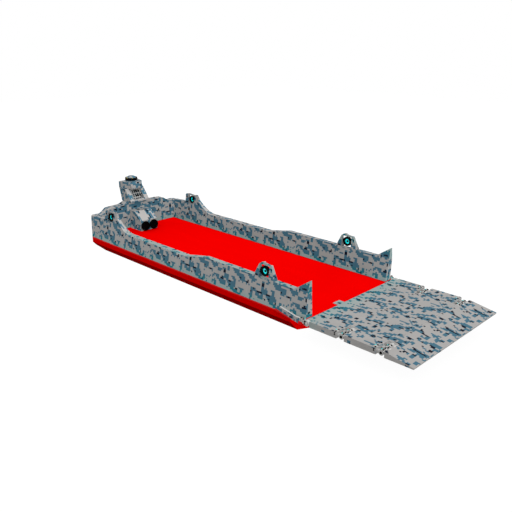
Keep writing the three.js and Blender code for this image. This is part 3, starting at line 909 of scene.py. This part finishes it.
def beaconPieces():
    place = np.array(beacon["place"])
    black, camouflage = finishes["black_paint"], finishes["camo_paint"]
    makePiece("beaconRing", beaconRing(place), black, "craft", ["beacon_ring"])
    base, high = beacon["baseRadius"], beacon["lift"] + beacon["sink"]
    foot = turned([(0, 0), (base + 0.01, 0), (base, 0.02), (base, high), (0, high)], "z", place, 48)
    makePiece("beaconBase", [foot], camouflage, "craft")
    seat = place + (beacon["amberCircle"], 0, beacon["collarHigh"] + beacon["lift"] - 0.001)
    lens = turned(beacon["amber"], "z", seat, 12)
    ambers = spun(lens, "z", place, np.radians(beacon["amberAngles"]))
    makePiece("beaconAmberLamps", [ambers], amberLens, "craft")
    dome = beaconDome(place)
    makePiece("beaconDome", [dome], camouflage, "beacon_dome", ["beacon_dome"])


beaconPieces()
print("beacon made")


# Engine fans: a toothed drum with a hub, curved blades and two guard rings

fan = {
    "face": -12.2497,
    "y": 0.405,
    "z": 1.70,
    "radius": 0.39,
    "depth": 0.2,
    "teeth": 20,
    "toothHalf": 0.028,
    "hub": ((0, 0.04), (0.075, 0.04), (0.075, 0.13), (0.045, 0.165), (0, 0.17)),
    "blades": 9,
    "bladeAt": 0.1,           # distance of the blades' middle from the back of the drum
    "guardRings": (0.14, 0.22),
    "guardWire": 0.007,       # radius of the rings' wire
    "guardIn": 0.02,          # how far the rings lie behind the rim of the drum
}


# A blade is a strip from hub to rim whose chord turns from 55 to 25 degrees to the face
def fanBlade(centre):
    span = np.linspace(0.05, 0.3, 7)[:, None]
    twist = np.radians(np.linspace(55, 25, 7))[:, None]
    chord = np.array([-0.045, 0.045, 0.045, -0.045])[None]
    thick = np.array([-0.004, -0.004, 0.004, 0.004])[None]
    across = chord * np.cos(twist) - thick * np.sin(twist)
    along = chord * np.sin(twist) + thick * np.cos(twist)
    return closedRings(placed(span + 0 * chord, across, along, "x", centre))


def fanPiece(sideName, side):
    centre = np.array([fan["face"], side * fan["y"], fan["z"]])
    outer, depth, half = fan["radius"], fan["depth"], fan["toothHalf"]
    drum = turned([
        (0, 0), (outer - 0.03, 0), (outer - 0.03, depth - 0.03), (outer - 0.045, depth - 0.01),
        (outer - 0.06, depth - 0.01), (outer - 0.06, 0.05), (0, 0.05),
    ], "x", centre, 48)
    low, high = centre + (0.03, outer - 0.035, -half), centre + (depth - 0.03, outer, half)
    teeth = spun(slab(low, high, 0.008, "x"), "x", centre, evenAngles(fan["teeth"]))
    hub = turned(fan["hub"], "x", centre, 24)
    blade = fanBlade(centre + (fan["bladeAt"], 0, 0))
    shapes = [drum, teeth, hub, spun(blade, "x", centre, evenAngles(fan["blades"]))]
    angle, wire, back = evenAngles(8), fan["guardWire"], depth - fan["guardIn"]
    for radius in fan["guardRings"]:
        section = np.stack([radius + wire * np.cos(angle), back + wire * np.sin(angle)], axis=1)
        shapes.append(turned(section, "x", centre, 40, closed=True))
    low, high = centre + (depth - 0.024, 0.06, -0.006), centre + (depth - 0.012, outer - 0.05, 0.006)
    shapes.append(spun(slab(low, high, 0.002, "y"), "x", centre, np.radians([0, 90, 180, 270])))
    black, node = finishes["black_paint"], f"fan_drum_{sideName}"
    makePiece(f"engineFan_{sideName}", shapes, black, "craft", [node])


for sideName, side in sides:
    fanPiece(sideName, side)
print("fans made")


# Irons, pads and reflectors that belong together: one piece of each kind, on its side of the craft
def makeFittings(names, tag, side, body, irons, pads, lights):
    kinds = (
        (irons, finishes["black_paint"], "black_paint"),
        (pads, fittingPaint, "camo_paint"),
        (lights, reflector, "lamp_glass"),
    )
    for name, (shapes, finish, slot) in zip(names, kinds):
        if shapes:
            made = [mirrored(shape, side) for shape in shapes]
            makePiece(f"{name}_{tag}", made, finish, body)


# Fittings at the two folds of the ramp: bands and caps on the knuckles, pin heads, pads beside the
# knuckles and small reflectors. Even knuckles, counted from outboard, belong to the aft plate.

fold = {
    "axisZ": jointPlace(folds[0])[2],
    "outer": 4.355,           # outboard end of the first knuckle
    "pitch": 0.219,
    "gap": 0.01,
    "radius": 0.15,
    "setback": 0.25,          # where the flat of a plate begins, from the pin
    "padFrom": 0.012,         # where a pad begins, past the setback
    "deck": 1.45,
    "edge": 4.45,
    "padHigh": 0.014,
    "bolt": (0.052, 0.02),    # radius and height of each kind of bolt
    "cap": (0.05, 0.032),
    "edgeBolt": (0.036, 0.02),
    "pinHead": (0.062, 0.05),
    "edgeBoltsAt": (0.365, (1.385, 1.29)),    # how far aft of the pin, and their heights
    "plateLight": (0.45, 4.166),      # how far aft of the pin, and how far outboard
    "toeStart": (13.19, 0, 1.45),     # the top of the toe slopes down from here
    "toeSlope": 9.63,
    # knuckle, distance fore of the pin and distance outboard of the knuckle's middle
    "caps": ((0, 0.06, 0.0), (1, 0.04, 0.01), (2, 0.085, 0.03), (3, -0.07, -0.05), (3, 0.08, -0.05)),
    "lights": ((0, -0.05, -0.05), (3, -0.07, 0.05)),
    # knuckle, length and half width of the pad, distances of its bolts from its middle
    "pads": ((0, 0.17, 0.15, (-0.11, 0.11)), (1, 0.10, 0.09, ()),
             (2, 0.12, 0.09, (0.0,)), (3, 0.10, 0.09, ())),
}


def knuckleMiddle(k):
    return fold["outer"] - k * fold["pitch"] - (fold["pitch"] - fold["gap"]) / 2


# A place on the crown of a knuckle, which falls off round its axis
def crownPlace(x, k, ahead, across, sunk):
    height = fold["axisZ"] + math.sqrt(fold["radius"] ** 2 - ahead ** 2) - sunk
    return x + ahead, knuckleMiddle(k) + across, height


def knuckleBand(x, y):
    low, high = fold["radius"] - 0.02, fold["radius"] + 0.004
    section = [(low, -0.007), (high, -0.007), (high, 0.007), (low, 0.007)]
    return turned(section, "y", (x, y, fold["axisZ"]), 32, closed=True)


def reflectorButton(place):
    profile = [(0, -0.01), (0.04, -0.01), (0.04, 0.012), (0.025, 0.022), (0, 0.024)]
    return turned(profile, "z", place, 16)


# The pad beside a knuckle, and its bolts; those of the toe lie on its slope
def foldPad(x, way, middle, long, half, spread, onToe):
    start = fold["setback"] + fold["padFrom"]
    near, far = sorted((x + way * start, x + way * (fold["setback"] + long)))
    top = fold["deck"] + fold["padHigh"]
    shapes = [slab((near, middle - half, fold["deck"] - 0.004), (far, middle + half, top), 0.005)]
    if spread:
        boltX = x + way * (start + fold["bolt"][0] * 1.25)
        places = [(boltX, middle + offset, top - 0.001) for offset in spread]
        shapes.append(bolts(places, "z", *fold["bolt"]))
    if onToe:
        shapes = [tilted(shape, fold["toeStart"], fold["toeSlope"]) for shape in shapes]
    return shapes[0], shapes[1:]


def foldFittings(number, x, isAft, body, sideName, side):
    way = -1 if isAft else 1
    irons, pads, lights = [], [], []
    for k, long, half, spread in fold["pads"]:
        if (k % 2 == 0) == isAft:
            middle = knuckleMiddle(k)
            reach = (fold["pitch"] - fold["gap"]) / 2 - 0.012
            pad, padBolts = foldPad(x, way, middle, long, half, spread, body == "ramp_toe")
            irons += [knuckleBand(x, middle + reach), knuckleBand(x, middle - reach), *padBolts]
            pads.append(pad)
    for k, ahead, across in fold["caps"]:
        if (k % 2 == 0) == isAft:
            irons.append(bolt(crownPlace(x, k, ahead, across, 0.004), "z", *fold["cap"]))
    for k, ahead, across in fold["lights"]:
        if (k % 2 == 0) == isAft:
            lights.append(reflectorButton(crownPlace(x, k, ahead, across, 0.0)))
    if isAft:
        aft, heights = fold["edgeBoltsAt"]
        places = [(x - aft, fold["edge"] - 0.001, height) for height in heights]
        irons.append(bolts(places, "y", *fold["edgeBolt"]))
        irons.append(bolt((x, fold["outer"] - 0.002, fold["axisZ"]), "y", *fold["pinHead"]))
        aft, outboard = fold["plateLight"]
        lights.append(reflectorButton((x - aft, outboard, fold["deck"])))
    tag = f"{number}_{'aft' if isAft else 'fore'}_{sideName}"
    names = ("foldIrons", "foldPads", "foldReflectors")
    makeFittings(names, tag, side, body, irons, pads, lights)


for number, name in enumerate(folds, 1):
    x = jointPlace(name)[0]
    for sideName, side in sides:
        foldFittings(number, x, True, joints[name]["parent"], sideName, side)
        foldFittings(number, x, False, joints[name]["child"], sideName, side)
print("fold fittings made")


# Fittings round the main hinge, and the tongue plate that bridges the bow's edge of the deck

bow = {
    "face": 4.47,             # outboard side of the brackets
    "pinHead": (0.072, 0.042),        # radius and height of each kind of bolt
    "sideBolt": (0.058, 0.022),
    "topBolt": (0.05, 0.03),
    "sideBolts": ((8.205, 1.36), (8.2, 1.23)),        # x and height
    "topBolts": ((7.93, 4.462, 1.485), (8.05, 4.405, 1.429)),
    "light": (8.053, 4.306, 1.429),
    "lightProfile": ((0, 0), (0.045, 0), (0.045, 0.018), (0, 0.026)),
    # low corner, high corner, chamfer and axis: on top of the cheek, over the bracket, on the side
    "pads": (((7.60, 4.412, 1.466), (7.98, 4.512, 1.486), 0.006, "z"),
             ((8.004, 4.26, 1.298), (8.1, 4.462, 1.43), 0.012, "z"),
             ((7.70, 4.515, 1.29), (7.975, 4.5195, 1.44), 0.002, "y")),
    "tongue": ((7.66, -1.33, 1.298), (8.055, -0.72, 1.322), 0.01),
}


def bowFittings(sideName, side):
    face = bow["face"]
    hinge = jointPlace("ramp_hinge")
    places = [(x, face - 0.001, height) for x, height in bow["sideBolts"]]
    irons = [bolts(places, "y", *bow["sideBolt"]), bolts(bow["topBolts"], "z", *bow["topBolt"])]
    pads = [slab(*pad) for pad in bow["pads"]]
    pads.append(bolt(hinge + (0, face - 0.002, 0), "y", *bow["pinHead"]))
    lights = [turned(bow["lightProfile"], "z", bow["light"], 16)]
    names = ("bowIrons", "bowPads", "bowReflector")
    makeFittings(names, sideName, side, "craft", irons, pads, lights)


for sideName, side in sides:
    bowFittings(sideName, side)
makePiece("tonguePlate", [slab(*bow["tongue"])], rampPaint, "craft")
print("bow fittings made")


# Window of the tower: a frame in the slanting recess with a visor, bars, catches and corner bolts.
# Shapes are drawn upright at the recess's middle, x outwards, and then leaned back with it.

window = {
    "middle": (-13.895, 0.0, 4.05),
    "lean": -33.18,
    "openHalf": 0.38,
    "openLow": -0.346,
    "openHigh": 0.346,
    "bar": 0.045,
    "back": -0.01,            # where frame, visor and catches start
    "out": 0.11,              # where the frame ends
    "visor": (0.44, 0.004, 0.05, 0.075),      # half width, from and to above the frame, reach out
    "uprights": (-0.2, 0.0, 0.2),
    "uprightHalf": 0.014,
    "crossHalf": 0.015,
    "catches": (-0.3, -0.1, 0.1, 0.3),
    "catch": (0.035, 0.09, 0.02, 0.025),      # half width, from and to below the frame, reach out
    "bolt": (0.018, 0.016),
    # black blocks on the frame: y and height of the middle, half sizes along both
    "blocks": ((-0.02, 0.17, 0.062, 0.05), (0.25, 0.12, 0.062, 0.05), (0.02, -0.24, 0.1, 0.045),
               (0.37, -0.18, 0.055, 0.05), (0.35, -0.36, 0.055, 0.05)),
    "blockHalf": 0.03,
}


def leanedBox(y0, y1, z0, z1, x0, x1, chamfer=0.006):
    mx, my, mz = window["middle"]
    shape = slab((mx + x0, y0, mz + z0), (mx + x1, y1, mz + z1), chamfer, "x")
    return tilted(shape, window["middle"], window["lean"])


def windowPieces():
    mx, my, mz = window["middle"]
    half, low, high = window["openHalf"], window["openLow"], window["openHigh"]
    bar, back, out = window["bar"], window["back"], window["out"]
    frameBars = [
        leanedBox(-half - bar, half + bar, high, high + bar, back, out),
        leanedBox(-half - bar, half + bar, low - bar, low, back, out),
        leanedBox(-half - bar, -half, low, high, back, out),
        leanedBox(half, half + bar, low, high, back, out),
    ]
    wide, start, end, reach = window["visor"]
    irons = [leanedBox(-wide, wide, high + bar + start, high + bar + end, back, reach)]
    thick = window["blockHalf"]
    for y, z, halfY, halfZ in window["blocks"]:
        irons.append(leanedBox(y - halfY, y + halfY, z - halfZ, z + halfZ, out - thick, out + thick))
    thin = window["uprightHalf"]
    for y in window["uprights"]:
        frameBars.append(leanedBox(y - thin, y + thin, low + 0.001, high - 0.001, 0.05, 0.08, 0.004))
    thin = window["crossHalf"]
    frameBars.append(leanedBox(-half + 0.001, half - 0.001, -thin, thin, 0.045, 0.085, 0.004))
    corners = [(mx + out - 0.002, y, mz + z) for y in (-half - bar / 2, half + bar / 2)
               for z in (low - bar / 2, 0.0, high + bar / 2)]
    heads = bolts(corners, "x", *window["bolt"])
    irons.append(tilted(heads, window["middle"], window["lean"]))
    wide, start, end, reach = window["catch"]
    for y in window["catches"]:
        below = low - bar
        irons.append(leanedBox(y - wide, y + wide, below - start, below - end, back, reach, 0.004))
    makePiece("windowFrame", frameBars, fittingPaint, "craft")
    makePiece("windowIrons", irons, finishes["black_paint"], "craft")


windowPieces()
print("window made")


# Slanting hood on the front of the tower's head, between two cheeks

hood = {
    "outline": ((-13.88, 5.03), (-13.84, 5.03), (-13.62, 4.60), (-13.62, 4.52), (-13.88, 4.52)),
    "front": -13.8,           # points of the outline fore of this are pushed out on the cheeks
    "cheekOut": 0.03,
    "half": 0.46,
    "cheekHalf": 0.53,
}


def hoodPieces():
    main = prism(hood["outline"], -hood["half"], hood["half"], 0.01)
    low, high = hood["half"] + 0.001, hood["cheekHalf"]
    outer = [(x + (hood["cheekOut"] if x > hood["front"] else 0), z) for x, z in hood["outline"]]
    cheeks = [prism(outer, low, high, 0.008), prism(outer, -high, -low, 0.008)]
    makePiece("headHood", [main] + cheeks, finishes["camo_paint"], "craft")


hoodPieces()
print("hood made")


# Propellers with twisted blades on a faired hub, and rudders with a foil section

running = {
    "radius": 0.47,
    "root": 0.06,             # where a blade starts, inside the hub
    "hub": 0.085,
    "blades": 4,
    "bladeSteps": 13,         # rings along a blade and points round each
    "bladeSides": 14,
    "bladeHalf": 0.095,       # the blades reach this far fore and aft at most
    "shaft": 0.045,
    "shaftLong": 1.6497,
    "stock": 0.04,
    "foilThick": 0.16,
    "foilSteps": 13,
    # height, fore and aft end from the stock, and how full each section is
    "foil": ((0.17, 0.13, -0.33, 0.7), (0.18, 0.15, -0.35, 1.0), (0.52, 0.155, -0.34, 1.0),
             (0.868, 0.16, -0.33, 1.0), (0.878, 0.14, -0.31, 0.7)),
    # (radius, height) of the collar round the stock
    "collar": ((0, 0.872), (0.062, 0.872), (0.062, 0.9), (0.05, 0.912), (0, 0.912)),
}


# From hub to tip the blade's pitch falls from 60 to 24 degrees, and its width is greatest at 0.88;
# each ring is an ellipse of chord and thickness, bent round the shaft by its distance across
def propBlade(centre, side):
    root = running["root"]
    run = np.linspace(0, 1, running["bladeSteps"])
    span = (root + (running["radius"] - root) * run)[:, None]
    rounded = np.sqrt(np.clip(1 - ((run - 0.55) / 0.62) ** 4, 0.002, 1))
    width = (0.34 * rounded * (0.5 + 0.5 * run))[:, None]
    pitch = np.radians(60 - 36 * run)[:, None] * side
    around = evenAngles(running["bladeSides"])[None]
    chord = 0.5 * np.cos(around) * width
    thick = (0.02 - 0.012 * run)[:, None] * 0.5 * np.sin(around)
    across = chord * np.cos(pitch) - thick * np.sin(pitch)
    along = chord * np.sin(pitch) + thick * np.cos(pitch)
    along = np.clip(along, -running["bladeHalf"], running["bladeHalf"])
    bend = across / np.maximum(span, root)
    return closedRings(placed(span * np.cos(bend), span * np.sin(bend), along, "x", centre))


def propellerPiece(sideName, side):
    centre = jointPlace(f"propeller_turn_{sideName}")
    blades = spun(propBlade(centre, side), "x", centre, evenAngles(running["blades"], 0.5))
    radius, shaft, end = running["hub"], running["shaft"], running["shaftLong"]
    hub = turned([
        (0, -0.1), (0.03, -0.1), (0.06, -0.085), (radius, -0.04), (radius, 0.08), (0.07, 0.1),
        (shaft, 0.1), (shaft, end), (0, end),
    ], "x", centre, 32)
    body = f"propeller_{sideName}"
    makePiece(f"propellerScrew_{sideName}", [hub, blades], finishes["bronze"], body, [body])


# A rudder: foil sections stacked between a raked foot and head, and the round stock above them. Half
# the thickness of a section is the usual polynomial of a foil in the run from its fore end, 0 to 1.
def rudderPiece(sideName):
    place = jointPlace(f"rudder_turn_{sideName}") * (1, 1, 0)
    run = (1 - np.cos(np.linspace(0, np.pi, running["foilSteps"]))) / 2
    thick = running["foilThick"] * 5 * (0.2969 * np.sqrt(run) - 0.126 * run - 0.3516 * run ** 2
                                        + 0.2843 * run ** 3 - 0.1036 * run ** 4)
    along = np.concatenate([run, run[-2:0:-1]])
    across = np.concatenate([thick, -thick[-2:0:-1]])
    height, fore, aft, full = np.array(running["foil"]).T[..., None]
    long = fore - aft
    x = place[0] + fore - along * long
    foil = closedRings(np.stack([x, across * long * full + place[1], height + 0 * x], axis=-1))
    radius = running["stock"]
    stock = turned([
        (0, 0.8), (radius, 0.8), (radius, 1.205), (radius - 0.01, 1.215), (0, 1.215),
    ], "z", place, 24)
    collar = turned(running["collar"], "z", place, 24)
    body, paint = f"rudder_{sideName}", finishes["hull_red"]
    makePiece(f"rudderFoil_{sideName}", [foil, stock, collar], paint, body, [body])


for sideName, side in sides:
    propellerPiece(sideName, side)
    rudderPiece(sideName)
print("propellers and rudders made")
